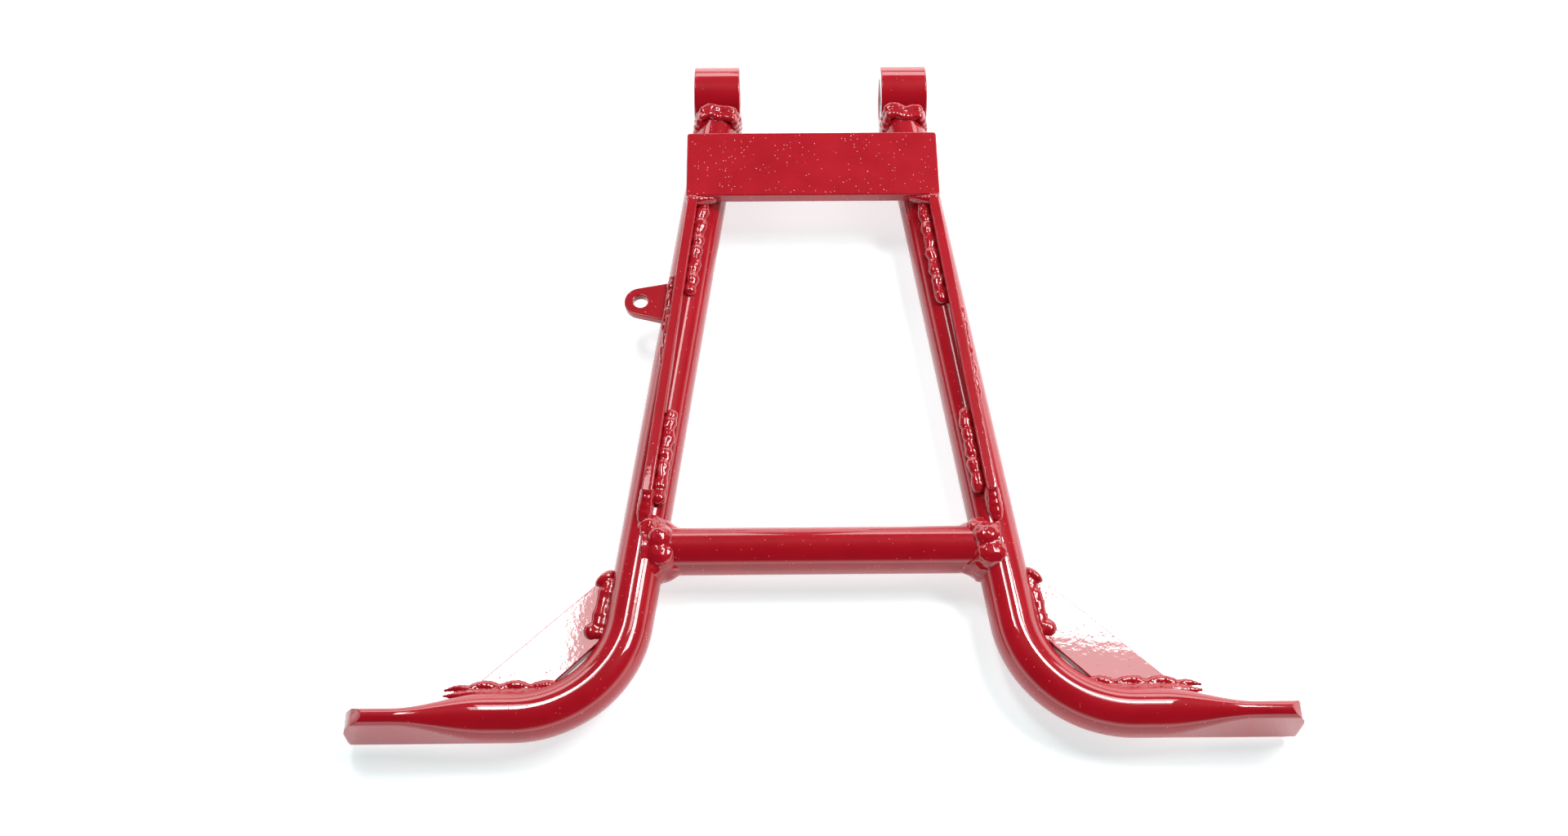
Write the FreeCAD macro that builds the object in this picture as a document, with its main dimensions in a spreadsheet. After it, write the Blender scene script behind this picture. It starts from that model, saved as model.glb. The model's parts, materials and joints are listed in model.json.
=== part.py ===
import FreeCAD, Part
import math
import os
import re

import Sketcher

# Motorcycle centre stand: two bent tube legs, a cross tube, a cross plate, edge ribs,
# gussets, pivot bosses and a spring tab, all welded together.
# Frame: origin midway between the bosses on the pivot axis, +X along the pivot axis to
# the right, +Y away from the feet, +Z up as the stand lies on its back. Millimetres.

DIMENSIONS = {
    "tube_diameter": 22,
    "tube_wall": 2,
    "leg_offset": 46.3,
    "leg_splay": 7.576,
    "foot_distance": 345.5,
    "bend_radius": 50,
    "press_start": 156,
    "press_end": 186,
    "foot_end": 209.5,
    "press_thickness": 8,
    "press_height": 30,
    "press_drop": 3.5,
    "press_corner": 6.5,
    "cutter_margin": 1,
    "plug_thickness": 4,
    "boss_spacing": 98,
    "boss_length": 24,
    "boss_diameter": 35,
    "bush_diameter": 22,
    "bush_recess": 0.5,
    "pivot_diameter": 18,
    "cross_distance": 265.8,
    "collar_inner": 80,
    "collar_outer": 62,
    "collar_radius": 19,
    "collar_proud": 1.8,
    "plate_width": 128,
    "plate_depth": 40,
    "plate_thickness": 6,
    "plate_distance": 55.5,
    "plate_corner": 1.5,
    "rib_thickness": 5,
    "rib_start": 76,
    "rib_end": 243,
    "rib_offset": 52.0,
    "rib_slope": 0.1118,
    "rib_seat": 7,
    "gusset_thickness": 5,
    "gusset_top": 264,
    "gusset_foot": 162,
    "gusset_notch": 26,
    "tab_reach": 85.6,
    "tab_distance": 134.1,
    "tab_root": 67,
    "tab_radius": 8,
    "tab_hole": 7,
    "tab_thickness": 4,
    "tab_top": 9.5,
    "tab_back_slope": 11,
    "tab_front_slope": 15,
    "boss_weld_start": 9,
    "boss_weld_end": 23,
    "boss_weld_size": 3.2,
    "weld_feather": 0.5,
    "corner_weld_inner": 51,
    "corner_weld_outer": 62.5,
    "corner_weld_size": 4.5,
    "corner_weld_lead": 3,
    "back_weld_width": 12,
    "back_weld_size": 3.6,
    "upper_stitch_start": 86,
    "upper_stitch_end": 133,
    "lower_stitch_start": 199,
    "lower_stitch_end": 238,
    "stitch_size": 3.8,
    "left_outer_start": 149,
    "left_outer_end": 172,
    "right_outer_start": 141,
    "right_outer_end": 191,
    "outer_stitch_size": 2.8,
    "rib_weld_end": 256,
    "rib_weld_size": 5.2,
    "rib_weld_tail": 3.2,
    "rib_weld_drop": 2,
    "gusset_leg_start": 275,
    "gusset_leg_end": 309,
    "gusset_foot_start": 122,
    "gusset_foot_end": 156,
    "gusset_weld_size": 4.5,
    "gusset_weld_offset": 1.5,
    "tab_weld_size": 3.4,
    "tab_weld_length": 26,
    "tab_weld_offset": 3.5,
}

ORIGIN_PLANES = {"XY": "XY_Plane", "XZ": "XZ_Plane", "YZ": "YZ_Plane"}
SIDES = {"left": -1, "right": 1}

doc = FreeCAD.newDocument("centre_stand")
sheet = doc.addObject("Spreadsheet::Sheet", "Dimensions")
nodes = []


def fill_sheet():
    for row, (alias, value) in enumerate(DIMENSIONS.items(), start=1):
        sheet.set(f"A{row}", alias)
        sheet.set(f"B{row}", str(value))
        sheet.setAlias(f"B{row}", alias)
    doc.recompute()


# ---- helpers that bind sizes to the sheet ----


def linked(expression):
    """Point every dimension name in an expression at the sheet; all names have an underscore."""
    return re.sub(r"\b([a-z]+(?:_[a-z]+)+)\b", r"Dimensions.\1", expression)


def drive(item, prop, expression):
    item.setExpression(prop, linked(expression))


def number(expression):
    return float(sheet.evalExpression(linked(expression)))


def place(item, x="0", y="0", z="0", rotation=None):
    """Give an object its turn, then bind its position to the sheet."""
    item.Placement = FreeCAD.Placement(FreeCAD.Vector(), rotation or FreeCAD.Rotation())
    for axis, expression in zip("xyz", (x, y, z)):
        drive(item, f"Placement.Base.{axis}", expression)


def as_node(item, name):
    item.Label = name
    nodes.append(item)
    return item


def primitive(kind, name, sizes):
    item = doc.addObject(f"Part::{kind}", name)
    for prop, expression in sizes.items():
        drive(item, prop, expression)
    return item


def combine(kind, name, base, tool):
    item = doc.addObject(f"Part::{kind}", name)
    item.Base = base
    item.Tool = tool
    return item


def trim(name, base, tools):
    """Cut each neighbour out of a solid in turn."""
    for index, tool in enumerate(tools):
        base = combine("Cut", f"{name}_trim_{index}", base, tool)
    return base


# ---- helpers for sketches ----


def new_body(name, x="0", y="0", z="0", rotation=None):
    body = doc.addObject("PartDesign::Body", name)
    place(body, x, y, z, rotation)
    return body


def new_sketch(body, name, plane, height="0"):
    sketch = body.newObject("Sketcher::SketchObject", name)
    role = ORIGIN_PLANES[plane]
    support = next(item for item in body.Origin.OriginFeatures if item.Role == role)
    sketch.AttachmentSupport = [(support, "")]
    sketch.MapMode = "FlatFace"
    drive(sketch, "AttachmentOffset.Base.z", height)
    return sketch


def pin(sketch, geometry, point, x, y):
    """Hold one point of a sketch at x and y from the sketch's origin."""
    for kind, expression in (("DistanceX", x), ("DistanceY", y)):
        constraint = Sketcher.Constraint(kind, -1, 1, geometry, point, number(expression))
        index = sketch.addConstraint(constraint)
        sketch.setExpression(f"Constraints[{index}]", linked(expression))


def vector(x, y):
    return FreeCAD.Vector(number(x), number(y), 0)


def draw_circle(sketch, radius, x="0", y="0"):
    circle = Part.Circle(vector(x, y), FreeCAD.Vector(0, 0, 1), number(radius))
    geometry = sketch.addGeometry(circle, False)
    pin(sketch, geometry, 3, x, y)
    index = sketch.addConstraint(Sketcher.Constraint("Radius", geometry, number(radius)))
    sketch.setExpression(f"Constraints[{index}]", linked(radius))


def draw_outline(sketch, corners):
    """Draw a closed outline of straight edges through the corners."""
    lines = []
    for start, end in zip(corners, corners[1:] + corners[:1]):
        lines.append(sketch.addGeometry(Part.LineSegment(vector(*start), vector(*end)), False))
    for line, following, start in zip(lines, lines[1:] + lines[:1], corners):
        sketch.addConstraint(Sketcher.Constraint("Coincident", line, 2, following, 1))
        pin(sketch, line, 1, *start)


def draw_slot(sketch, width, height, x):
    """Draw an upright slot: two straight sides and two round ends."""
    radius = f"({width}) / 2"
    reach = f"(({height}) - ({width})) / 2"
    upward = FreeCAD.Vector(0, 0, 1)
    top_circle = Part.Circle(vector(x, reach), upward, number(radius))
    low_circle = Part.Circle(vector(x, f"-({reach})"), upward, number(radius))
    top = sketch.addGeometry(Part.ArcOfCircle(top_circle, 0, math.pi), False)
    low = sketch.addGeometry(Part.ArcOfCircle(low_circle, math.pi, 2 * math.pi), False)
    left_x = f"({x}) - {radius}"
    right_x = f"({x}) + {radius}"
    low_y = f"-({reach})"
    left = sketch.addGeometry(Part.LineSegment(vector(left_x, reach), vector(left_x, low_y)), False)
    right = sketch.addGeometry(Part.LineSegment(vector(right_x, low_y), vector(right_x, reach)), False)
    for first, first_end, second, second_end in (
        (top, 2, left, 1),
        (left, 2, low, 1),
        (low, 2, right, 1),
        (right, 2, top, 1),
    ):
        sketch.addConstraint(Sketcher.Constraint("Tangent", first, first_end, second, second_end))
    pin(sketch, top, 3, x, reach)
    pin(sketch, low, 3, x, low_y)
    index = sketch.addConstraint(Sketcher.Constraint("Radius", top, number(radius)))
    sketch.setExpression(f"Constraints[{index}]", linked(radius))


def pad(body, name, sketch, length, midplane=False):
    feature = body.newObject("PartDesign::Pad", name)
    feature.Profile = sketch
    drive(feature, "Length", length)
    feature.Midplane = midplane
    return feature


def pocket_all(body, name, sketch):
    """Cut a sketch right through the body, both ways."""
    feature = body.newObject("PartDesign::Pocket", name)
    feature.Profile = sketch
    feature.Type = "ThroughAll"
    feature.Midplane = True
    return feature


def flat_bar(name, corners, thickness, height):
    """A flat piece: an outline in the XY plane padded up from its underside."""
    body = new_body(name)
    sketch = new_sketch(body, f"{name}_outline", "XY", height)
    draw_outline(sketch, corners)
    pad(body, f"{name}_pad", sketch, thickness)
    return body


# ---- legs: straight tube, bend and pressed foot ----

BEND_TURN = "(90 - leg_splay)"
STRAIGHT = "((foot_distance - bend_radius * (1 - sin(leg_splay))) / cos(leg_splay))"
PRESS_CENTRE = "-(foot_distance + press_drop)"


def leg_pipe(name, side, radius):
    """Sweep a round section down the leg, round the bend and along the foot."""
    turn = FreeCAD.Rotation(FreeCAD.Vector(0, 0, 1), side * DIMENSIONS["leg_splay"])
    body = new_body(name, x=f"{side} * leg_offset", rotation=turn)
    section = new_sketch(body, f"{name}_section", "XZ")
    draw_circle(section, radius)
    route = new_sketch(body, f"{name}_route", "XY")
    centre = (f"{side} * bend_radius", f"-{STRAIGHT}")
    foot_run = f"(press_start - leg_offset - {STRAIGHT} * sin(leg_splay) - bend_radius * cos(leg_splay))"
    bend_end_x = f"bend_radius * (1 - cos{BEND_TURN})"
    bend_end_y = f"-{STRAIGHT} - bend_radius * sin{BEND_TURN}"
    foot_x = f"{side} * ({bend_end_x} + {foot_run} * sin{BEND_TURN})"
    foot_y = f"{bend_end_y} - {foot_run} * cos{BEND_TURN}"
    corner = ("0", f"-{STRAIGHT}")
    bend_end = (f"{side} * {bend_end_x}", bend_end_y)
    straight = route.addGeometry(Part.LineSegment(vector("0", "0"), vector(*corner)), False)
    circle = Part.Circle(vector(*centre), FreeCAD.Vector(0, 0, 1), number("bend_radius"))
    sweep = math.radians(number(BEND_TURN))
    start, stop = (math.pi, math.pi + sweep) if side > 0 else (-sweep, 0)
    bend = route.addGeometry(Part.ArcOfCircle(circle, start, stop), False)
    foot = route.addGeometry(Part.LineSegment(vector(*bend_end), vector(foot_x, foot_y)), False)
    near, far = (1, 2) if side > 0 else (2, 1)
    route.addConstraint(Sketcher.Constraint("Coincident", straight, 1, -1, 1))
    route.addConstraint(Sketcher.Constraint("Coincident", straight, 2, bend, near))
    pin(route, straight, 2, *corner)
    pin(route, bend, 3, *centre)
    route.addConstraint(Sketcher.Constraint("Tangent", bend, far, foot, 1))
    pin(route, foot, 2, foot_x, foot_y)
    pipe = body.newObject("PartDesign::AdditivePipe", f"{name}_pipe")
    pipe.Profile = section
    pipe.Spine = route
    return body


def pressed_foot(name, side, inset):
    """Blend the round tube into a flat upright slot section and run it to the foot's end."""
    body = new_body(name)
    width = f"press_thickness - 2 * ({inset})"
    height = f"press_height - 2 * ({inset})"
    round_end = new_sketch(body, f"{name}_round", "YZ", f"{side} * press_start")
    draw_circle(round_end, f"tube_diameter / 2 - ({inset})", "-foot_distance")
    flat_start = new_sketch(body, f"{name}_flat", "YZ", f"{side} * press_end")
    draw_slot(flat_start, width, height, PRESS_CENTRE)
    loft = body.newObject("PartDesign::AdditiveLoft", f"{name}_loft")
    loft.Profile = round_end
    loft.Sections = [flat_start]
    tip = new_sketch(body, f"{name}_tip", "YZ", f"{side} * foot_end")
    draw_slot(tip, width, height, PRESS_CENTRE)
    run = pad(body, f"{name}_run", tip, "foot_end - press_end")
    run.Reversed = side > 0
    return body


def corner_cutter(name, side):
    """A pair of wedges that take the corners off the end of a pressed foot."""
    body = new_body(name)
    sketch = new_sketch(body, f"{name}_outline", "XZ")
    for up in (1, -1):
        edge = f"{up} * press_height / 2"
        beyond = f"{up} * (press_height / 2 + cutter_margin)"
        inboard = f"{side} * (foot_end - press_corner)"
        end = f"{side} * (foot_end + cutter_margin)"
        low = f"{up} * (press_height / 2 - press_corner - cutter_margin)"
        corners = [(inboard, edge), (inboard, beyond), (end, beyond), (end, low)]
        draw_outline(sketch, corners)
    block = pad(body, f"{name}_pad", sketch, "2 * (foot_distance + press_height)", midplane=True)
    block.Refine = False
    return body


def build_leg(hand, side):
    """Return the leg's outer solid, which neighbours are cut to, after making its tube node."""
    outside = combine(
        "Fuse",
        f"{hand}_leg_outside",
        leg_pipe(f"{hand}_leg_skin", side, "tube_diameter / 2"),
        pressed_foot(f"{hand}_foot_skin", side, "0"),
    )
    inside = combine(
        "Fuse",
        f"{hand}_leg_inside",
        leg_pipe(f"{hand}_leg_hollow", side, "tube_diameter / 2 - tube_wall"),
        pressed_foot(f"{hand}_foot_hollow", side, "tube_wall"),
    )
    corners = corner_cutter(f"{hand}_foot_corners", side)
    tube = trim(f"{hand}_leg_tube", outside, [inside, boss_cope(hand, side), corners])
    as_node(tube, f"{hand}_leg_tube")
    plug = primitive("Box", f"{hand}_plug_stock", {
        "Length": "plug_thickness",
        "Width": "press_thickness",
        "Height": "press_height",
    })
    inner_face = "foot_end - plug_thickness" if side > 0 else "-foot_end"
    place(plug, inner_face, f"{PRESS_CENTRE} - press_thickness / 2", "-press_height / 2")
    plug = combine("Common", f"{hand}_plug_fit", plug, inside)
    as_node(trim(f"{hand}_foot_plug", plug, [corners]), f"{hand}_foot_plug")
    return outside


# ---- pivot bosses and their bushes ----

ALONG_X = FreeCAD.Rotation(FreeCAD.Vector(0, 1, 0), 90)


def boss_cope(hand, side):
    """The round that pieces meeting a boss are cut to, longer than the boss itself."""
    name = f"{hand}_boss_cope"
    solid = doc.getObject(name)
    if solid is None:
        sizes = {"Radius": "boss_diameter / 2", "Height": "2 * boss_length"}
        solid = primitive("Cylinder", name, sizes)
        place(solid, f"{side} * boss_spacing / 2 - boss_length", rotation=ALONG_X)
    return solid


def ring(name, side, outer, inner, length):
    """A plain ring along the pivot axis, padded both ways from its middle."""
    body = new_body(name)
    sketch = new_sketch(body, f"{name}_section", "YZ", f"{side} * boss_spacing / 2")
    draw_circle(sketch, f"{outer} / 2")
    draw_circle(sketch, f"{inner} / 2")
    pad(body, f"{name}_pad", sketch, length, midplane=True)
    return as_node(body, name)


def build_boss(hand, side):
    ring(f"{hand}_pivot_boss", side, "boss_diameter", "bush_diameter", "boss_length")
    length = "boss_length - 2 * bush_recess"
    ring(f"{hand}_pivot_bush", side, "bush_diameter", "pivot_diameter", length)


# ---- cross members ----


def cross_solid(name, radius):
    """A bar between the legs' centre lines, cut to their round sides."""
    sizes = {"Radius": radius, "Height": "2 * (leg_offset + cross_distance * tan(leg_splay))"}
    bar = primitive("Cylinder", name, sizes)
    start = "-(leg_offset + cross_distance * tan(leg_splay))"
    place(bar, start, "-cross_distance", rotation=ALONG_X)
    return bar


def build_cross_tube(legs):
    outside = cross_solid("cross_outside", "tube_diameter / 2")
    inside = cross_solid("cross_inside", "tube_diameter / 2 - tube_wall")
    tube = trim("lower_cross_tube", outside, [inside, legs["left"], legs["right"]])
    as_node(tube, "lower_cross_tube")
    return outside


def build_plate():
    """The upper cross plate lies on both tubes and has small rounded corners."""
    side_x = "plate_width / 2"
    back_y = "-plate_distance + plate_depth / 2"
    front_y = "-plate_distance - plate_depth / 2"
    corners = [
        (f"-{side_x}", front_y),
        (side_x, front_y),
        (side_x, back_y),
        (f"-{side_x}", back_y),
    ]
    body = flat_bar("upper_cross_plate", corners, "plate_thickness", "tube_diameter / 2")
    doc.recompute()
    padded = body.Tip
    upright = []
    for index, edge in enumerate(padded.Shape.Edges, start=1):
        if abs(edge.Vertexes[0].Z - edge.Vertexes[-1].Z) > number("plate_thickness / 2"):
            upright.append(f"Edge{index}")
    rounded = body.newObject("PartDesign::Fillet", "plate_corners")
    rounded.Base = (padded, upright)
    drive(rounded, "Radius", "plate_corner")
    return as_node(body, "upper_cross_plate")


# ---- flat bars along the legs ----


def rib_x(distance, side, across="0"):
    return f"{side} * (rib_offset + rib_slope * ({distance}) + ({across}))"


def build_rib(hand, side, leg):
    """A bar on edge along the top of the leg, level with the plate's top."""
    half = "rib_thickness / 2"
    corners = [
        (rib_x("rib_start", side, f"-{half}"), "-rib_start"),
        (rib_x("rib_start", side, half), "-rib_start"),
        (rib_x("rib_end", side, half), "-rib_end"),
        (rib_x("rib_end", side, f"-{half}"), "-rib_end"),
    ]
    height = "tube_diameter / 2 + plate_thickness - rib_seat"
    stock = flat_bar(f"{hand}_rib_stock", corners, height, "rib_seat")
    return as_node(trim(f"{hand}_rib", stock, [leg]), f"{hand}_rib")


def build_gusset(hand, side, leg):
    """A flat web in the outer corner of the bend, notched to clear the bend itself."""
    middle = "bend_radius - tube_diameter / 2"
    bend_x = f"(leg_offset + {STRAIGHT} * sin(leg_splay) + bend_radius * cos(leg_splay))"
    bend_y = "(foot_distance - bend_radius)"
    leg_x = "(leg_offset + gusset_top * tan(leg_splay))"
    notch = f"(sqrt(({middle}) ^ 2 - (gusset_notch / 2) ^ 2) / sqrt(2))"
    swing = "(gusset_notch / sqrt(8))"
    foot_y = "(foot_distance - tube_diameter / 4)"
    corners = [
        (f"{side} * {leg_x}", "-gusset_top"),
        (f"{side} * gusset_foot", f"-{foot_y}"),
        (f"{side} * ({bend_x} - {notch} + {swing})", f"-{foot_y}"),
        (f"{side} * ({bend_x} - {notch} + {swing})", f"-({bend_y} + {notch} + {swing})"),
        (f"{side} * ({bend_x} - {notch} - {swing})", f"-({bend_y} + {notch} - {swing})"),
        (f"{side} * {leg_x}", f"-({bend_y} + {notch} - {swing})"),
    ]
    stock = flat_bar(f"{hand}_gusset_stock", corners, "gusset_thickness", "-gusset_thickness / 2")
    return as_node(trim(f"{hand}_gusset", stock, [leg]), f"{hand}_gusset")


def build_tab(leg, rib):
    """The ear for the return spring, on the outer side of the left leg."""
    body = new_body("spring_tab_stock")
    height = "tab_top - tab_thickness"
    run = "(tab_reach - tab_root)"
    back_x = "-(tab_reach + tab_radius * sin(tab_back_slope))"
    back_y = "-tab_distance + tab_radius * cos(tab_back_slope)"
    front_x = "-(tab_reach + tab_radius * sin(tab_front_slope))"
    front_y = "-tab_distance - tab_radius * cos(tab_front_slope)"
    root = new_sketch(body, "tab_root_outline", "XY", height)
    draw_outline(root, [
        (back_x, back_y),
        (front_x, front_y),
        ("-tab_root", f"-tab_distance - tab_radius - {run} * tan(tab_front_slope)"),
        ("-tab_root", f"-tab_distance + tab_radius + {run} * tan(tab_back_slope)"),
    ])
    pad(body, "tab_root_pad", root, "tab_thickness")
    tip = new_sketch(body, "tab_tip_outline", "XY", height)
    draw_circle(tip, "tab_radius", "-tab_reach", "-tab_distance")
    pad(body, "tab_tip_pad", tip, "tab_thickness")
    eye = new_sketch(body, "tab_eye_outline", "XY", height)
    draw_circle(eye, "tab_hole / 2", "-tab_reach", "-tab_distance")
    pocket_all(body, "tab_eye", eye)
    return as_node(trim("spring_tab", body, [leg, rib]), "spring_tab")


# ---- weld beads ----


def bead_solid(name, start, end, radii, cutters):
    """A round bead from start to end, each (x, y, z), cut to the pieces it joins."""
    first = FreeCAD.Vector(*(number(value) for value in start))
    last = FreeCAD.Vector(*(number(value) for value in end))
    squares = " + ".join(f"(({b}) - ({a})) ^ 2" for a, b in zip(start, end))
    sizes = {"Radius1": radii[0], "Radius2": radii[1], "Height": f"sqrt({squares})"}
    stock = primitive("Cone", f"{name}_stock", sizes)
    place(stock, *start, rotation=FreeCAD.Rotation(FreeCAD.Vector(0, 0, 1), last - first))
    return trim(name, stock, cutters)


def bead(name, start, end, radii, cutters):
    return as_node(bead_solid(name, start, end, radii, cutters), name)


def leg_x(distance, side, across="0"):
    """The leg's centre line at a distance from the pivot, moved outward by across."""
    return f"{side} * (leg_offset + ({distance}) * tan(leg_splay) + ({across}))"


def build_boss_weld(hand, side, leg):
    x = leg_x("boss_diameter / 2", side)
    start = (x, "-boss_weld_start", "0")
    end = (x, "-boss_weld_end", "0")
    radii = ("tube_diameter / 2 + boss_weld_size", "tube_diameter / 2 + weld_feather")
    bead(f"{hand}_boss_weld", start, end, radii, [leg, boss_cope(hand, side)])


def build_cross_weld(hand, side, cutters):
    """A sloping collar in the corner between the cross tube and the leg."""
    start = (f"{side} * collar_inner", "-cross_distance", "0")
    end = (f"{side} * collar_outer", "-cross_distance", "0")
    radii = ("collar_radius", "tube_diameter / 2 + weld_feather")
    cone = bead_solid(f"{hand}_collar", start, end, radii, cutters)
    width = "collar_inner - collar_outer"
    depth = "tube_diameter + 2 * collar_proud"
    slab = primitive("Box", f"{hand}_collar_slab", {
        "Length": width,
        "Width": "2 * collar_radius",
        "Height": depth,
    })
    left_x = "collar_outer" if side > 0 else "-collar_inner"
    place(slab, left_x, "-cross_distance - collar_radius", f"-({depth}) / 2")
    as_node(combine("Common", f"{hand}_cross_weld", cone, slab), f"{hand}_cross_weld")


def build_plate_welds(hand, side, cutters, rib_bead_solid):
    """A blob that ties the plate's front corner to the rib, and a run along its back edge."""
    leg, rib, plate = cutters
    front = "-(plate_distance + plate_depth / 2)"
    top = "tube_diameter / 2 + plate_thickness"
    start = (f"{side} * corner_weld_inner", front, f"{top} - corner_weld_size")
    end = (f"{side} * corner_weld_outer", f"{front} - corner_weld_lead", f"{top} - corner_weld_size")
    radii = ("corner_weld_size / 2", "corner_weld_size")
    bead(f"{hand}_plate_front_weld", start, end, radii, [leg, rib, plate, rib_bead_solid])
    distance = "plate_distance - plate_depth / 2"
    start = (leg_x(distance, side, "-back_weld_width / 2"), f"-({distance})", "tube_diameter / 2")
    end = (leg_x(distance, side, "back_weld_width / 2"), f"-({distance})", "tube_diameter / 2")
    radii = ("back_weld_size", "back_weld_size")
    bead(f"{hand}_plate_back_weld", start, end, radii, [leg, plate])


def rib_bead(name, side, across, stretch, size, cutters):
    """A run along the foot of a rib, at an offset across from the rib's middle."""
    first, last = stretch
    seat = "tube_diameter / 2 - weld_feather"
    start = (rib_x(first, side, across), f"-({first})", seat)
    end = (rib_x(last, side, across), f"-({last})", seat)
    return bead(name, start, end, (size, size), cutters)


def build_rib_welds(hand, side, leg, rib):
    """Stitches beside the rib and a blob round its end; returns the two that meet others."""
    inner = "-(rib_thickness / 2 + weld_feather)"
    upper_run = ("upper_stitch_start", "upper_stitch_end")
    lower_run = ("lower_stitch_start", "lower_stitch_end")
    outer_run = (f"{hand}_outer_start", f"{hand}_outer_end")
    upper = rib_bead(f"{hand}_rib_upper_weld", side, inner, upper_run, "stitch_size", [leg, rib])
    rib_bead(f"{hand}_rib_lower_weld", side, inner, lower_run, "stitch_size", [leg, rib])
    outer = "rib_thickness / 2"
    rib_bead(f"{hand}_rib_outer_weld", side, outer, outer_run, "outer_stitch_size", [leg, rib])
    height = "tube_diameter / 2 + weld_feather"
    start = (rib_x("rib_end", side), "-rib_end", height)
    end = (leg_x("rib_weld_end", side), "-rib_weld_end", f"{height} - rib_weld_drop")
    end_weld = bead(f"{hand}_rib_end_weld", start, end, ("rib_weld_size", "rib_weld_tail"), [leg, rib])
    return upper, end_weld


def build_gusset_welds(hand, side, leg, gusset):
    outer = "tube_diameter / 2 + gusset_weld_offset"
    radii = ("gusset_weld_size", "gusset_weld_size")
    start = (leg_x("gusset_leg_start", side, outer), "-gusset_leg_start", "0")
    end = (leg_x("gusset_leg_end", side, f"{outer} + gusset_weld_offset"), "-gusset_leg_end", "0")
    bead(f"{hand}_gusset_leg_weld", start, end, radii, [leg, gusset])
    foot_top = "-(foot_distance - tube_diameter / 2 - gusset_weld_offset)"
    start = (f"{side} * gusset_foot_start", foot_top, "0")
    end = (f"{side} * gusset_foot_end", foot_top, "0")
    bead(f"{hand}_gusset_foot_weld", start, end, radii, [leg, gusset])


def build_tab_weld(leg, rib, tab):
    half = "tab_weld_length / 2"
    height = "tab_top - weld_feather"
    start_x = "-(tab_root + tab_weld_offset)"
    end_x = "-(tab_root + tab_weld_offset + tab_weld_length * tan(leg_splay))"
    start = (start_x, f"-tab_distance + {half}", height)
    end = (end_x, f"-tab_distance - {half}", height)
    radii = ("tab_weld_size", "tab_weld_size")
    bead("spring_tab_weld", start, end, radii, [leg, rib, tab])


# ---- the whole stand ----


def build_stand():
    legs = {hand: build_leg(hand, side) for hand, side in SIDES.items()}
    cross = build_cross_tube(legs)
    plate = build_plate()
    ribs = {hand: build_rib(hand, side, legs[hand]) for hand, side in SIDES.items()}
    tab = build_tab(legs["left"], ribs["left"])
    for hand, side in SIDES.items():
        leg = legs[hand]
        rib = ribs[hand]
        build_boss(hand, side)
        gusset = build_gusset(hand, side, leg)
        build_boss_weld(hand, side, leg)
        upper_weld, end_weld = build_rib_welds(hand, side, leg, rib)
        build_cross_weld(hand, side, [leg, cross, end_weld])
        build_plate_welds(hand, side, (leg, rib, plate), upper_weld)
        build_gusset_welds(hand, side, leg, gusset)
    build_tab_weld(legs["left"], ribs["left"], tab)


def check_document():
    """Stop if any object failed, or if a node's shape is empty or not valid."""
    for item in doc.Objects:
        if "Invalid" in item.State or "Error" in item.State:
            raise RuntimeError(f"{item.Name} failed: {item.State}")
    for item in nodes:
        if item.Shape.isNull() or not item.Shape.isValid() or not item.Shape.Solids:
            raise RuntimeError(f"{item.Label} has no valid solid")


def export_nodes():
    os.makedirs("parts", exist_ok=True)
    for item in nodes:
        item.Shape.exportStep(f"parts/{item.Label}.step")
        print(f"{item.Label}: {len(item.Shape.Solids)} solid(s), {item.Shape.Volume:.0f} mm3")


fill_sheet()
build_stand()
doc.recompute()
check_document()
export_nodes()
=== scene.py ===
import json
import math
import random

import bmesh
import bpy
from mathutils import Matrix, Vector


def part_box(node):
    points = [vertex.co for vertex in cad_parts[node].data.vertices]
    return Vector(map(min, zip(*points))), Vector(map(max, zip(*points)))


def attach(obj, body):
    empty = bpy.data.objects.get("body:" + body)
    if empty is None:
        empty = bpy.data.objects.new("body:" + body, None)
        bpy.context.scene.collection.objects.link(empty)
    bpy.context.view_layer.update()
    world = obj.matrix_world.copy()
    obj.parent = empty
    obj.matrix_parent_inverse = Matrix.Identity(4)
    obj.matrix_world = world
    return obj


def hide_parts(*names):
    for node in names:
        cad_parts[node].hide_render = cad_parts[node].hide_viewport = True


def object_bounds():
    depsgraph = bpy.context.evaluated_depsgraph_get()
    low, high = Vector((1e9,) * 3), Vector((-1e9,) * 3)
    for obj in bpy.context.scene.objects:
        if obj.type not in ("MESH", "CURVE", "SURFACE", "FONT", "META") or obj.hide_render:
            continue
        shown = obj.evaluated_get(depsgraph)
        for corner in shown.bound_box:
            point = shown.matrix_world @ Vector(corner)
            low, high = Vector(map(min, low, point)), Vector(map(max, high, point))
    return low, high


# A motorcycle centre stand lying on its back on a pale studio table, ribs up.
# +X to the right along the pivot axis, +Y away from the feet, +Z up. Metres.

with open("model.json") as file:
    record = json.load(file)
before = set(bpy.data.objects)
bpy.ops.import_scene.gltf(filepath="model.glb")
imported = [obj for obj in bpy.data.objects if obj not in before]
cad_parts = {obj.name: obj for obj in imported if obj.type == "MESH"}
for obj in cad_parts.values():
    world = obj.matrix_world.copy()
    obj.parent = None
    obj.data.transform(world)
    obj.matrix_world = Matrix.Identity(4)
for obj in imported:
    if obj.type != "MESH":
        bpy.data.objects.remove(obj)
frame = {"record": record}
cad_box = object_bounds()

MM = 0.001
SIDES = {"left": -1, "right": 1}
BODY = "root"
UP = Vector((0, 0, 1))


def middle(node):
    low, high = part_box(node)
    return (low + high) / 2


def extent(node):
    low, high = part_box(node)
    return high - low


def mount(name):
    return next(item for item in frame["record"]["mounts"] if item["name"] == name)


# ---- sizes: from the frame where a box gives them ----

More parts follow.
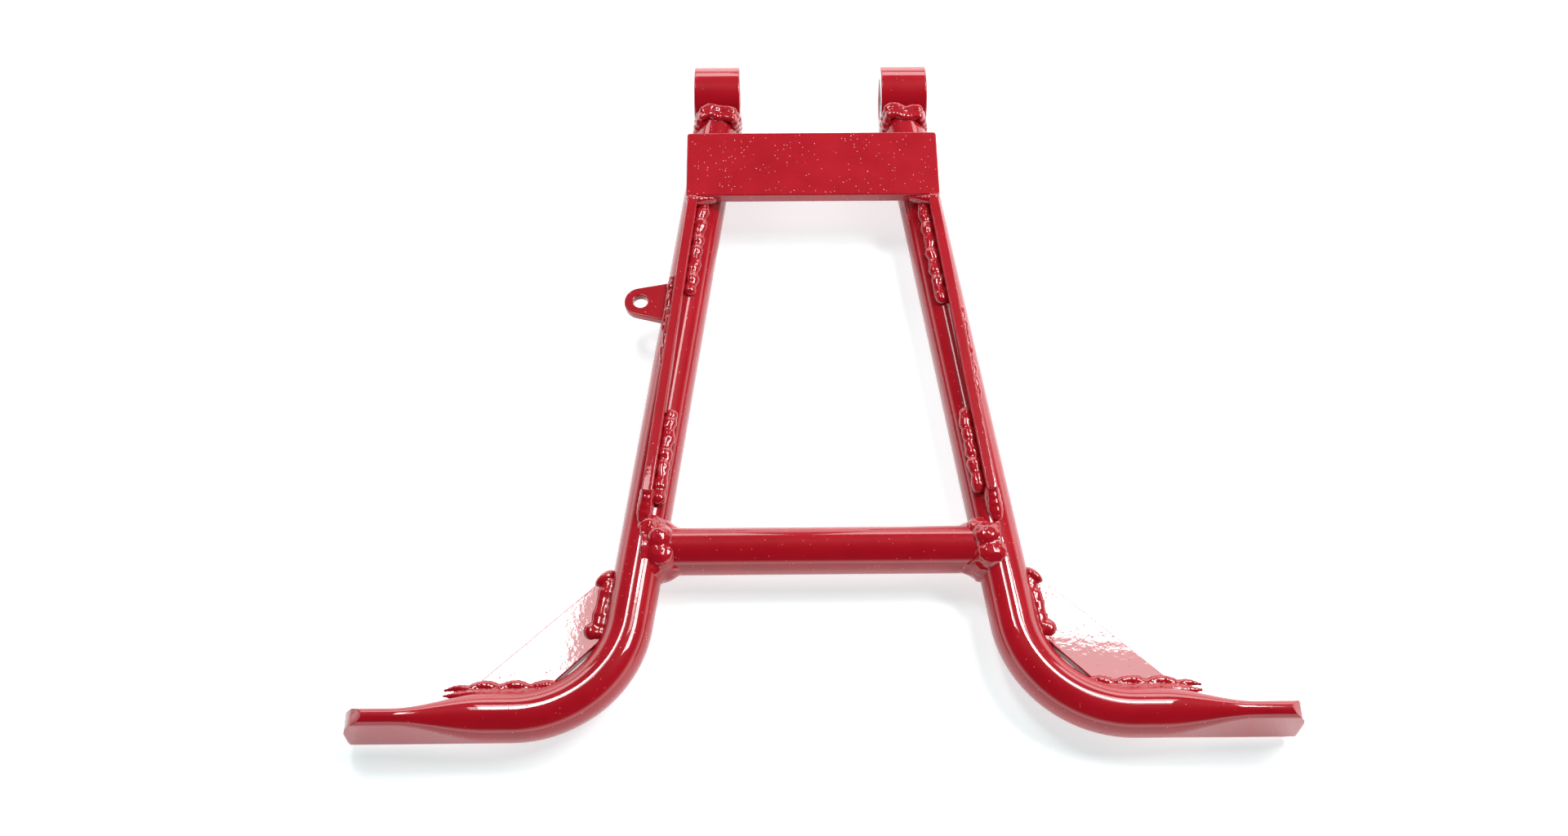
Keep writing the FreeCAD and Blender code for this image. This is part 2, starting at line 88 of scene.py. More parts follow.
TUBE = extent("lower_cross_tube").z / 2
CROSS_Y = middle("lower_cross_tube").y
LEG_OFFSET = 46.3 * MM
SPLAY = math.radians(7.576)
LEG_START = 13 * MM
FOOT_Y = -345.5 * MM
BEND = 50 * MM
PRESS_START = 146 * MM
PRESS_END = 186 * MM
PRESS_HALF = 4 * MM
PRESS_TALL = 15 * MM
PRESS_Y = -349 * MM
FOOT_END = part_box("right_leg_tube")[1].x
RIB_SLOPE = math.atan(0.1118)
RIB_OFFSET = 52 * MM
RIB_HALF = 2.5 * MM
ROUND = 72

# The corners trimmed off a pressed foot's end: above (1) or below (-1), how far in along the foot, and
# how far down or up its end face. Millimetres.
UPPER_TRIMS = ((1, 9.5, 6.5), (1, 7.0, 11.0), (1, 4.0, 17.0))
LOWER_TRIMS = ((-1, 4.5, 4.0), (-1, 1.8, 9.0))

# Rounds on the edges of each kind of piece.
BAR_EDGE = 0.7 * MM
BOSS_EDGE = 0.9 * MM
BUSH_EDGE = 0.3 * MM
FOOT_EDGE = 2 * MM
GUSSET_EDGE = 0.45 * MM
PLATE_CORNER = 1.5 * MM
PLATE_EDGE = 0.8 * MM
TAB_EDGE = 0.6 * MM

# Weld metal: how far apart its drops lie, and how fine the fused bead is.
DROP_SPACING = 2.1 * MM
BEAD_GRAIN = 0.45 * MM

# A stitch of weld beside a rib: hand, place, first and last distance in front of the pivot axis, distance
# across from the rib's middle, and the half width, half length and half height of a drop. Millimetres.
STITCHES = (
    ("left", "upper", 78, 129, -5.1, (3.4, 3.4, 2.3)),
    ("left", "lower", 200, 244, -5.1, (3.4, 3.4, 2.4)),
    ("left", "outer", 146, 170, 3.2, (1.8, 3.1, 1.6)),
    ("right", "upper", 79, 135, -5.1, (3.4, 3.4, 2.3)),
    ("right", "lower", 200, 240, -5.1, (3.4, 3.4, 2.4)),
    ("right", "outer", 142, 190, 3.2, (1.8, 3.1, 1.6)),
)

# The drop that runs off a rib's lower end: distance in front of the pivot axis, half width, half length,
# half height, level. Millimetres.
RIB_END_DROPS = (
    (242, 3.9, 4.0, 5.4, 11.4),
    (245, 4.1, 4.3, 4.8, 11.1),
    (248, 4.2, 4.4, 3.9, 10.9),
    (251, 4.0, 4.2, 2.9, 10.8),
    (254, 3.3, 3.4, 1.9, 10.6),
)

# The web in the plate's front corner: distance across, distance in front of the plate, half width, half
# length, half height, level. Millimetres.
PLATE_CORNER_DROPS = (
    (61.5, 0.8, 2.8, 3.0, 3.9, 13.6),
    (59.5, 1.2, 3.0, 3.3, 3.9, 13.5),
    (57.2, 1.2, 3.2, 3.0, 3.7, 13.4),
    (54.8, 0.9, 3.0, 2.4, 3.4, 13.3),
    (52.4, 0.5, 2.6, 1.9, 3.0, 13.3),
    (50.4, 0.2, 2.0, 1.4, 2.4, 13.4),
)

# The two rows of a boss weld: how far in front of the boss, and the size of a drop. Millimetres.
BOSS_WELD_ROWS = ((1.4, (2.7, 3.4, 2.5)), (5.2, (2.4, 3.4, 2.1)))

# Colours.
DEEP_RED = (0.33, 0.0032, 0.010, 1)
BRIGHT_RED = (0.38, 0.0044, 0.013, 1)
# Painted highlight: this pale colour, given to the paint nibs, stands in for the glints they catch.
PAINTED_NIB_GLINT = (0.80, 0.22, 0.26, 1)
DULL_STEEL = (0.30, 0.29, 0.28, 1)
PALE_STEEL = (0.52, 0.51, 0.49, 1)
TABLE_WHITE = (0.75, 0.76, 0.765, 1)
TABLE_GLOW = (0.86, 1, 1, 1)
WALL_WHITE = (1, 1, 1, 1)
CEILING_GREY = (0.012, 0.012, 0.014, 1)

# Soft boxes over the stand: name, across, back, width, depth, brightness. Metres.
CEILING = 1.5
SOFT_BOXES = (
    ("left_box", -0.37, 0.36, 0.17, 0.42, 24),
    ("left_glow", -0.225, 0.36, 0.12, 0.42, 7),
    ("left_far_box", -0.37, 0.76, 0.17, 0.38, 8),
    ("right_box", 0.49, 0.44, 0.30, 0.24, 30),
    ("right_glow", 0.49, 0.23, 0.30, 0.18, 7),
    ("right_far_box", 0.49, 0.75, 0.30, 0.38, 8),
    ("right_side_box", 1.05, 0.20, 0.55, 0.80, 18),
)

# Long strips of light behind the stand, turned to its middle: name, across, back, height, width, depth,
# brightness. Metres.
STAND_MIDDLE = (0, -0.2, 0)
BACK_STRIPS = (
    ("left_back_strip", -0.66, 1.6, 1.0, 1.34, 0.60, 4.5),
    ("right_back_strip", 0.72, 1.6, 1.0, 1.34, 0.60, 4.5),
)


# ---- modelling helpers ----


def open_piece(name):
    """Start an empty mesh at the origin in edit mode, with nothing else selected."""
    bpy.ops.object.select_all(action="DESELECT")
    bpy.ops.object.add(type="MESH", location=(0, 0, 0))
    piece = bpy.context.object
    piece.name = name
    bpy.ops.object.mode_set(mode="EDIT")
    bpy.ops.mesh.select_mode(type="VERT")
    return piece


def modify(kind, **settings):
    """Put a modifier on the active piece and apply it."""
    if bpy.context.mode == "EDIT_MESH":
        bpy.ops.object.mode_set(mode="OBJECT")
    bpy.ops.object.modifier_add(type=kind)
    modifier = bpy.context.object.modifiers[-1]
    for name, value in settings.items():
        setattr(modifier, name, value)
    bpy.ops.object.modifier_apply(modifier=modifier.name)


def soften_edges(width, segments=3, sharp=40):
    modify("BEVEL", width=width, segments=segments, limit_method="ANGLE",
           angle_limit=math.radians(sharp), use_clamp_overlap=True, harden_normals=False)


def close_piece(piece, finish, replaced, sharp=40):
    """Smooth the shading, give the finish, and tie the piece to the stand's body."""
    if bpy.context.mode == "EDIT_MESH":
        bpy.ops.object.mode_set(mode="OBJECT")
    bpy.ops.object.shade_smooth_by_angle(angle=math.radians(sharp))
    modify("WEIGHTED_NORMAL", mode="FACE_AREA", keep_sharp=True)
    piece.data.materials.clear()
    piece.data.materials.append(finish)
    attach(piece, BODY)
    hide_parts(*replaced)


def pick_faces(piece, test):
    mesh = bmesh.from_edit_mesh(piece.data)
    for face in mesh.faces:
        face.select_set(test(face))
    mesh.select_flush(False)
    bmesh.update_edit_mesh(piece.data)


def pick_edges(piece, test):
    bpy.ops.mesh.select_mode(type="EDGE")
    mesh = bmesh.from_edit_mesh(piece.data)
    for edge in mesh.edges:
        edge.select_set(test(edge))
    bmesh.update_edit_mesh(piece.data)


def push_out(offset):
    bpy.ops.mesh.extrude_region_move(TRANSFORM_OT_translate={"value": offset})


def cut_away(place, normal):
    """Cut the piece at a plane and close the cut, keeping what is behind the normal."""
    bpy.ops.mesh.select_all(action="SELECT")
    bpy.ops.mesh.bisect(
        plane_co=place, plane_no=normal, use_fill=True, clear_outer=True, threshold=MM / 1000)


def smooth_step(share):
    return share * share * (3 - 2 * share)


def leg_point(distance, side, across=0.0, height=0.0):
    """A place beside a leg's centre line, by distance in front of the pivot axis."""
    x = LEG_OFFSET + distance * math.tan(SPLAY) + across
    return Vector((side * x, -distance, height))


def bend_start(side):
    """Where the leg's straight run meets its bend, on the centre line."""
    return leg_point(-FOOT_Y - BEND * (1 - math.sin(SPLAY)), side)


def bend_centre(side):
    return Vector((bend_start(side).x + side * BEND * math.cos(SPLAY), FOOT_Y + BEND, 0))


def rib_point(distance, side, across=0.0, height=0.0):
    x = RIB_OFFSET + distance * math.tan(RIB_SLOPE) + across
    return Vector((side * x, -distance, height))


# ---- finishes ----


def shader_node(tree, kind, **settings):
    made = tree.nodes.new(kind)
    for name, value in settings.items():
        if name in made.inputs:
            made.inputs[name].default_value = value
        else:
            setattr(made, name, value)
    return made


def powder_coat(name, peel, nib_height, cloud_scale, nib_share=0.14):
    """Glossy red powder coat: a red base under a clear coat, with orange peel, and paint nibs that are
    also tinted pale as painted glints.

    peel and nib_height are heights in metres, and nib_share is the share of specks that show, each as a
    bump with a painted pale highlight.
    """
    finish = bpy.data.materials.new(name)
    finish.use_nodes = True
    tree = finish.node_tree
    shader = tree.nodes["Principled BSDF"]
    shader.inputs["IOR"].default_value = 1.5
    shader.inputs["Specular IOR Level"].default_value = 0.08
    shader.inputs["Coat Weight"].default_value = 1.0
    shader.inputs["Coat Roughness"].default_value = 0.03
    shader.inputs["Coat IOR"].default_value = 1.55
    place = shader_node(tree, "ShaderNodeTexCoord")
    cloud = shader_node(tree, "ShaderNodeTexNoise", Scale=cloud_scale, Detail=3.0)
    tint = shader_node(tree, "ShaderNodeValToRGB")
    tint.color_ramp.elements[0].position = 0.3
    tint.color_ramp.elements[0].color = DEEP_RED
    tint.color_ramp.elements[1].position = 0.7
    tint.color_ramp.elements[1].color = BRIGHT_RED
    gloss = shader_node(tree, "ShaderNodeMapRange")
    gloss.inputs["To Min"].default_value = 0.30
    gloss.inputs["To Max"].default_value = 0.42
    wave = shader_node(tree, "ShaderNodeTexNoise", Scale=420.0, Detail=2.0, Roughness=0.45)
    cells = shader_node(tree, "ShaderNodeTexVoronoi", Scale=640.0, Randomness=1.0)
    nib = shader_node(tree, "ShaderNodeMapRange", interpolation_type="SMOOTHSTEP")
    nib.inputs["From Min"].default_value = 0.22
    nib.inputs["From Max"].default_value = 0.02
    some = shader_node(tree, "ShaderNodeSeparateColor")
    chosen = shader_node(tree, "ShaderNodeMath", operation="GREATER_THAN")
    chosen.inputs[1].default_value = 1 - nib_share
    nib_bump_and_glint = shader_node(tree, "ShaderNodeMath", operation="MULTIPLY")
    # Painted highlight: the chosen nibs are mixed towards a pale colour so they look like glints.
    painted_glint = shader_node(tree, "ShaderNodeMix", data_type="RGBA")
    painted_glint.inputs["B"].default_value = PAINTED_NIB_GLINT
    fine = shader_node(tree, "ShaderNodeBump", Strength=1.0, Distance=peel)
    grit = shader_node(tree, "ShaderNodeBump", Strength=1.0, Distance=nib_height)
    link = tree.links.new
    for texture in (cloud, wave, cells):
        link(place.outputs["Object"], texture.inputs["Vector"])
    link(cloud.outputs["Fac"], tint.inputs["Fac"])
    link(nib_bump_and_glint.outputs["Value"], painted_glint.inputs["Factor"])
    link(tint.outputs["Color"], painted_glint.inputs["A"])
    link(painted_glint.outputs["Result"], shader.inputs["Base Color"])
    link(cloud.outputs["Fac"], gloss.inputs["Value"])
    link(gloss.outputs["Result"], shader.inputs["Roughness"])
    link(cells.outputs["Distance"], nib.inputs["Value"])
    link(cells.outputs["Color"], some.inputs["Color"])
    link(some.outputs["Red"], chosen.inputs[0])
    link(nib.outputs["Result"], nib_bump_and_glint.inputs[0])
    link(chosen.outputs["Value"], nib_bump_and_glint.inputs[1])
    link(wave.outputs["Fac"], fine.inputs["Height"])
    link(nib_bump_and_glint.outputs["Value"], grit.inputs["Height"])
    link(fine.outputs["Normal"], grit.inputs["Normal"])
    link(grit.outputs["Normal"], shader.inputs["Normal"])
    link(grit.outputs["Normal"], shader.inputs["Coat Normal"])
    return finish


def bare_steel(name):
    """Plain steel, finely mottled, for the bushes."""
    finish = bpy.data.materials.new(name)
    finish.use_nodes = True
    tree = finish.node_tree
    shader = tree.nodes["Principled BSDF"]
    shader.inputs["Metallic"].default_value = 1.0
    place = shader_node(tree, "ShaderNodeTexCoord")
    streaks = shader_node(tree, "ShaderNodeTexNoise", Scale=900.0, Detail=4.0)
    tone = shader_node(tree, "ShaderNodeValToRGB")
    tone.color_ramp.elements[0].color = DULL_STEEL
    tone.color_ramp.elements[1].color = PALE_STEEL
    rough = shader_node(tree, "ShaderNodeMapRange")
    rough.inputs["To Min"].default_value = 0.28
    rough.inputs["To Max"].default_value = 0.48
    bump = shader_node(tree, "ShaderNodeBump", Strength=1.0, Distance=0.00002)
    link = tree.links.new
    link(place.outputs["Object"], streaks.inputs["Vector"])
    link(streaks.outputs["Fac"], tone.inputs["Fac"])
    link(tone.outputs["Color"], shader.inputs["Base Color"])
    link(streaks.outputs["Fac"], rough.inputs["Value"])
    link(rough.outputs["Result"], shader.inputs["Roughness"])
    link(streaks.outputs["Fac"], bump.inputs["Height"])
    link(bump.outputs["Normal"], shader.inputs["Normal"])
    return finish


TUBE_RED = powder_coat("tube_red", peel=0.000012, nib_height=0.00002, cloud_scale=61)
PLATE_RED = powder_coat("plate_red", peel=0.00001, nib_height=0.00009, cloud_scale=62, nib_share=0.32)
GUSSET_RED = powder_coat("gusset_red", peel=0.00002, nib_height=0.00003, cloud_scale=63)
WELD_RED = powder_coat("weld_red", peel=0.000015, nib_height=0.00002, cloud_scale=64)
BUSH_STEEL = bare_steel("bush_steel")


# ---- legs ----


def build_leg(hand, side):
    """A round tube, run down the leg, spun round the bend and pressed flat at the foot."""
    leg = open_piece(f"{hand}_leg_pipe")
    start = leg_point(LEG_START, side)
    corner = bend_start(side)
    centre = bend_centre(side)
    bpy.ops.mesh.primitive_circle_add(
        vertices=ROUND, radius=TUBE, location=start,
        rotation=(math.pi / 2, math.pi / ROUND, side * SPLAY))
    push_out(corner - start)
    bpy.ops.mesh.spin(
        steps=28, angle=side * (SPLAY - math.pi / 2), center=centre, axis=(0, 0, 1))
    place = Vector((centre.x, FOOT_Y, 0))
    step = Vector((side * PRESS_START, FOOT_Y, 0)) - place
    push_out(step)
    place += step
    steps = 16
    radius = TUBE
    lift = 0.0
    for index in range(1, steps + 1):
        share = smooth_step(index / steps)
        target = Vector((
            side * (PRESS_START + (PRESS_END - PRESS_START) * index / steps),
            FOOT_Y + (PRESS_Y - FOOT_Y) * share, 0))
        push_out(target - place)
        place = target
        new_radius = TUBE + (PRESS_HALF - TUBE) * share
        new_lift = (PRESS_TALL - PRESS_HALF) * share
        scale = new_radius / radius
        bpy.ops.transform.resize(value=(1, scale, 1), center_override=place)
        stretch_ring(leg, radius, lift, new_radius, new_lift)
        radius = new_radius
        lift = new_lift
    nose = 2 * MM
    push_out((side * (FOOT_END - nose - PRESS_END), 0, 0))
    place.x = side * (FOOT_END - nose)
    half = PRESS_HALF
    for turn in (18, 36, 54, 72, 90):
        reach = FOOT_END - nose + nose * math.sin(math.radians(turn))
        target = Vector((side * reach, PRESS_Y, 0))
        push_out(target - place)
        place = target
        new_half = PRESS_HALF - nose + nose * math.cos(math.radians(turn))
        bpy.ops.transform.resize(value=(1, new_half / half, 1), center_override=place)
        half = new_half
    bpy.ops.mesh.select_all(action="SELECT")
    bpy.ops.mesh.fill_holes(sides=0)
    trim_foot_end(side)
    bpy.ops.mesh.select_all(action="SELECT")
    bpy.ops.mesh.normals_make_consistent(inside=False)
    soften_edges(FOOT_EDGE, segments=5, sharp=25)
    close_piece(leg, TUBE_RED, [f"{hand}_leg_tube", f"{hand}_foot_plug"])


def stretch_ring(leg, radius, lift, new_radius, new_lift):
    """Draw the selected ring's upper and lower halves apart as the tube is pressed flat."""
    mesh = bmesh.from_edit_mesh(leg.data)
    for vertex in mesh.verts:
        if vertex.select:
            sign = math.copysign(1, vertex.co.z)
            along = (abs(vertex.co.z) - lift) / radius
            vertex.co.z = sign * (along * new_radius + new_lift)
    bmesh.update_edit_mesh(leg.data)


def trim_foot_end(side):
    """Take the corners off the pressed end: a long slope above, a short round below."""
    left_extra = 0.15
    longer = 1 - left_extra * side
    trims = [(up, inset * longer, fall) for up, inset, fall in UPPER_TRIMS]
    for up, inset, fall in (*trims, *LOWER_TRIMS):
        corner = Vector((side * (FOOT_END - inset * MM), 0, up * PRESS_TALL))
        cut_away(corner, (side * fall * MM, 0, up * inset * MM))


# ---- bosses and bushes ----


def build_ring(name, node, outer, inner, edge, finish):
    """A turned ring along X in the place of a CAD ring, with its edges eased."""
    ring = open_piece(name)
    length = extent(node).x
    bpy.ops.mesh.primitive_cylinder_add(
        vertices=96, radius=outer, depth=length, location=middle(node), rotation=(0, math.pi / 2, 0))
    bpy.ops.mesh.select_mode(type="FACE")
    square_on = 0.9
    pick_faces(ring, lambda face: abs(face.normal.x) > square_on)
    bpy.ops.mesh.inset(thickness=outer - inner, use_individual=True)
    bpy.ops.mesh.bridge_edge_loops()
    bpy.ops.mesh.select_all(action="SELECT")
    bpy.ops.mesh.normals_make_consistent(inside=False)
    soften_edges(edge)
    close_piece(ring, finish, [node])


def build_bosses(hand):
    bore = mount("pivot_bore")["dims"]["r_mm"] * MM
    boss_node = f"{hand}_pivot_boss"
    bush_node = f"{hand}_pivot_bush"
    boss = extent(boss_node).z / 2
    bush = extent(bush_node).z / 2
    build_ring(f"{hand}_boss_ring", boss_node, boss, bush, BOSS_EDGE, TUBE_RED)
    build_ring(f"{hand}_bush_ring", bush_node, bush, bore, BUSH_EDGE, BUSH_STEEL)


# ---- bars, gussets and tab ----


def build_cross_tube():
    tube = open_piece("cross_tube_pipe")
    reach = leg_point(-CROSS_Y, 1).x
    bpy.ops.mesh.primitive_cylinder_add(
        vertices=ROUND, radius=TUBE, depth=2 * reach, location=(0, CROSS_Y, 0),
        rotation=(0, math.pi / 2, 0))
    close_piece(tube, TUBE_RED, ["lower_cross_tube"])


def build_plate():
    plate = open_piece("cross_plate_bar")
    bpy.ops.mesh.primitive_cube_add(
        size=1, location=middle("upper_cross_plate"), scale=extent("upper_cross_plate"))
    pick_edges(plate, lambda edge: abs(edge.verts[0].co.z - edge.verts[1].co.z) > MM)
    bpy.ops.mesh.bevel(offset=PLATE_CORNER, segments=5, affect="EDGES")
    soften_edges(PLATE_EDGE, segments=4)
    close_piece(plate, PLATE_RED, ["upper_cross_plate"])


def build_rib(hand, side):
    low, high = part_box(f"{hand}_rib")
    rib = open_piece(f"{hand}_rib_bar")
    back = rib_point(-high.y, side)
    front = rib_point(-low.y, side)
    sunk = 2 * MM
    seat = low.z - sunk
    centre = (back + front) / 2 + UP * (high.z + seat) / 2
    bpy.ops.mesh.primitive_cube_add(
        size=1, location=centre, rotation=(0, 0, side * RIB_SLOPE),
        scale=(2 * RIB_HALF, (front - back).length, high.z - seat))
    soften_edges(BAR_EDGE)
    close_piece(rib, TUBE_RED, [f"{hand}_rib"])


def build_gusset(hand, side):
    """A flat web across the corner of the bend, cut back to clear the bend itself."""
    web = open_piece(f"{hand}_gusset_web")
    top_distance = 264 * MM
    foot_reach = 162 * MM
    clear_of_bend = 37 * MM
    top = leg_point(top_distance, side)
    foot = Vector((side * foot_reach, FOOT_Y + TUBE / 2, 0))
    size = foot - top
    thickness = extent(f"{hand}_gusset").z
    bpy.ops.mesh.primitive_cube_add(
        size=1, location=(top + foot) / 2, scale=(abs(size.x), abs(size.y), thickness))
    cut_away(foot, (side * abs(size.y), abs(size.x), 0))
    notch = Vector((-side, -1, 0)).normalized()
    cut_away(bend_centre(side) + notch * clear_of_bend, notch)
    soften_edges(GUSSET_EDGE)
    close_piece(web, GUSSET_RED, [f"{hand}_gusset"])


def build_tab():
    """The ear for the return spring: a hull from a round tip back to the leg, with an eye."""
    low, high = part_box("spring_tab")
    eye = Vector(mount("spring_hole")["pos_m"])
    tip_radius = eye.x - low.x
    eye_radius = mount("spring_hole")["dims"]["r_mm"] * MM
    thickness = high.z - low.z
    root_x = -67 * MM
    root_y = -134.8 * MM
    root_length = 24.6 * MM
    cutter = open_piece("eye_cutter")
    bpy.ops.mesh.primitive_cylinder_add(
        vertices=48, radius=eye_radius, depth=4 * thickness, location=eye)
    bpy.ops.object.mode_set(mode="OBJECT")
    tab = open_piece("spring_tab_ear")
    level = (low.z + high.z) / 2
    bpy.ops.mesh.primitive_cylinder_add(
        vertices=ROUND, radius=tip_radius, depth=thickness, location=(eye.x, eye.y, level))
    bpy.ops.mesh.primitive_cube_add(
        size=1, location=(root_x, root_y, level), scale=(MM, root_length, thickness))
    bpy.ops.mesh.select_all(action="SELECT")
    bpy.ops.mesh.convex_hull(join_triangles=True)
    bpy.ops.mesh.dissolve_limited(angle_limit=math.radians(0.5))
    modify("BOOLEAN", object=cutter, operation="DIFFERENCE", solver="EXACT")
    bpy.data.objects.remove(cutter)
    soften_edges(TAB_EDGE)
    close_piece(tab, GUSSET_RED, ["spring_tab"])


# ---- weld beads ----


def drop(place, size, heading=0.0, roll=0.0):
    """One drop of weld metal: half width, half length and half height, turned about Z."""
    bpy.ops.mesh.primitive_uv_sphere_add(
        segments=12, ring_count=8, radius=1, location=place, scale=size,
        rotation=(0, roll, heading))


def close_weld(weld, replaced, smoothing=13, ripple=0.5 * MM, grain=3.2 * MM):
    """Fuse the drops into one bead, roughen it a little and smooth it."""
    modify("REMESH", mode="VOXEL", voxel_size=BEAD_GRAIN)
    texture = bpy.data.textures.new(weld.name, "CLOUDS")
    texture.noise_scale = grain
    modify("DISPLACE", texture=texture, texture_coords="LOCAL", strength=ripple, mid_level=0.5)
    modify("SMOOTH", factor=0.5, iterations=smoothing)
    close_piece(weld, WELD_RED, replaced, sharp=180)


def vary(rng, vector, share):
    return Vector(value * rng.uniform(1 - share, 1 + share) for value in vector)


def wander(rng, reach, wave):
    """A smooth wobble along a bead: how far it strays, and how long its waves are."""
    first = rng.uniform(0, math.tau)
    second = rng.uniform(0, math.tau)
    shorter = 0.43
    long_part = 0.65

    def stray(distance):
        long_wave = math.sin(math.tau * distance / wave + first)
        short_wave = math.sin(math.tau * distance / (shorter * wave) + second)
        return reach * (long_part * long_wave + (1 - long_part) * short_wave)

    return stray


def spread(first, last, spacing):
    """Evenly spaced distances from the first to the last."""
    count = max(round(abs(last - first) / spacing), 1)
    return [first + (last - first) * index / count for index in range(count + 1)]


def build_stitch(hand, side, run, across, size, seed, node):
    """A bead of overlapping drops along the foot of a rib."""
    rng = random.Random(seed)
    sway = wander(rng, reach=0.45 * MM, wave=11 * MM)
    swell = wander(rng, reach=0.16, wave=8 * MM)
    level = TUBE + 0.4 * MM
    weld = open_piece(node + "_bead")
    for distance in spread(*run, DROP_SPACING):
        place = rib_point(distance, side, across + sway(distance), level)
        drop(place, size * (1 + swell(distance)), side * RIB_SLOPE)
    close_weld(weld, [node])


def build_rib_end_weld(hand, side):
    node = f"{hand}_rib_end_weld"
    weld = open_piece(node + "_drop")
    outward = 0.6 * MM
    for distance, width, length, height, level in RIB_END_DROPS:
        place = leg_point(distance * MM, side, outward, level * MM)
        drop(place, Vector((width, length, height)) * MM, side * SPLAY)
    close_weld(weld, [node])


def build_boss_weld(hand, side, seed):
    """A flowing bead round the tube, in the corner where it meets the boss."""
    rng = random.Random(seed)
    node = f"{hand}_boss_weld"
    weld = open_piece(node + "_bead")
    boss = extent(f"{hand}_pivot_boss").z / 2
    ring = 10.7 * MM
    narrow = 0.96
    squareness = 1.5
    last_turn = math.radians(125)
    stray = wander(rng, reach=1.6 * MM, wave=22 * MM)
    swell = wander(rng, reach=0.10, wave=14 * MM)
    for turn in spread(-last_turn, last_turn, math.radians(11)):
        height = ring * max(-1, min(1, squareness * math.cos(turn)))
        rest = math.sqrt(boss ** 2 - height ** 2)
        for lead, metal in BOSS_WELD_ROWS:
            distance = rest + lead * MM + stray(turn * ring)
            place = leg_point(distance, side, narrow * ring * math.sin(turn), height)
            fat = 1 + swell(turn * ring + 3 * lead * MM)
            drop(place, Vector(metal) * MM * fat, side * SPLAY)
    close_weld(weld, [node], smoothing=12, ripple=0.4 * MM)


def build_cross_weld(hand, side, seed):
    """A lumpy sloping collar in the corner between the cross tube and the leg."""
    rng = random.Random(seed)
    node = f"{hand}_cross_weld"
    weld = open_piece(node + "_collar")
    axis_x = leg_point(-CROSS_Y, side).x
    inner_end = 63 * MM
    inner_x = side * inner_end
    depth = abs(axis_x - inner_x)
    centre = Vector(((axis_x + inner_x) / 2, CROSS_Y, 0))
    wide = 19
    slim = 11.2
    flatness = 0.68
    bpy.ops.mesh.primitive_cone_add(
        vertices=22, radius1=wide * MM, radius2=slim * MM, depth=depth,
        location=centre, rotation=(0, -side * math.pi / 2, 0))
    bpy.ops.transform.resize(value=(1, 1, flatness), center_override=centre)
    lump = Vector((8.8, 8.8, 8.2)) * MM
    lump_sunk = 7.6
    lump_flatness = 0.72
    jog = 0.12
    for index in range(5):
        turn = math.radians(2 + 40 * index) + rng.uniform(-jog, jog)
        share = rng.uniform(0.15, 0.45)
        radius = (wide - (wide - slim) * share - lump_sunk) * MM
        place = Vector((
            axis_x + (inner_x - axis_x) * share,
            CROSS_Y + radius * math.cos(turn),
            radius * math.sin(turn) * lump_flatness))
        drop(place, vary(rng, lump, 0.06))
    close_weld(weld, [node], smoothing=7, ripple=1.8 * MM, grain=8 * MM)


def build_plate_welds(hand, side, seed):
    """A web of weld in the plate's front corner, and a run along its back edge."""
    low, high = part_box("upper_cross_plate")
    node = f"{hand}_plate_front_weld"
    weld = open_piece(node + "_web")
    slant = 0.3
    for across, lead, width, length, height, level in PLATE_CORNER_DROPS:
        place = Vector((side * across * MM, low.y - lead * MM, level * MM))
        drop(place, Vector((width, length, height)) * MM, -side * slant)
    close_weld(weld, [node])
    rng = random.Random(seed)
    node = f"{hand}_plate_back_weld"
    weld = open_piece(node + "_bead")
    half_run = 6.5 * MM
    metal = Vector((2.4, 2.8, 2.3)) * MM
    for across in spread(-half_run, half_run, 2 * MM):
        place = leg_point(-high.y, side, across, TUBE + 0.6 * MM)
        drop(place, vary(rng, metal, 0.12))
    close_weld(weld, [node])


def build_gusset_leg_weld(hand, side, rng):
    """A wide band down the leg, with a knob at its top and a lobe at its bottom."""
    node = f"{hand}_gusset_leg_weld"
    weld = open_piece(node + "_bead")
    swell = wander(rng, reach=0.10, wave=12 * MM)
    first = 283 * MM
    last = 307 * MM
    fuller = (1.2 - 0.8 * side) * MM
    arch = 1.0
    tail = 1.2
    tucked_in = 1.3 * MM
    level = 1.4 * MM
    band = Vector((4.3, 3.4, 2.9)) * MM
    for distance in spread(first, last, DROP_SPACING):
        share = (distance - first) / (last - first)
        bulge = fuller + (arch * math.sin(math.pi * share) + tail * share ** 3) * MM
        place = leg_point(distance, side, TUBE + bulge - tucked_in, level)
        drop(place, band * (1 + swell(distance)), side * SPLAY)
    knob = leg_point(280 * MM, side, TUBE + 1.4 * MM + fuller, 1.8 * MM)
    drop(knob, Vector((5.8, 2.8, 3.2)) * MM, side * math.radians(-42))
    lobe = leg_point(306 * MM, side, TUBE + 2.9 * MM + fuller, 1.2 * MM)
    drop(lobe, Vector((4.1, 4.8, 3.2)) * MM)
    close_weld(weld, [node], smoothing=18, ripple=0.2 * MM)


def build_gusset_foot_weld(hand, side, rng):
    """A row of scallops along the foot that thins out towards its end."""
    node = f"{hand}_gusset_foot_weld"
    weld = open_piece(node + "_bead")
    first = 115 * MM
    last = 166 * MM
    scallop_length = 13.5 * MM
    thinning = 18 * MM
    beyond = 6 * MM
    least_lead = 0.9
    scallop_lead = 2.2
    metal = Vector((3.0, 2.9, 2.7)) * MM
    for x in spread(first, last, DROP_SPACING):
        scallop = abs(math.sin((x - first) * math.pi / scallop_length))
        fade = min(1.0, (last + beyond - x) / thinning)
        lead = (least_lead + scallop_lead * scallop * fade) * MM
        for place in (
            Vector((side * x, FOOT_Y + TUBE + lead, 1.5 * MM)),
            Vector((side * x, FOOT_Y + TUBE - 1.6 * MM, 2.4 * MM)),
        ):
            drop(place, vary(rng, metal * fade, 0.06))
    close_weld(weld, [node])


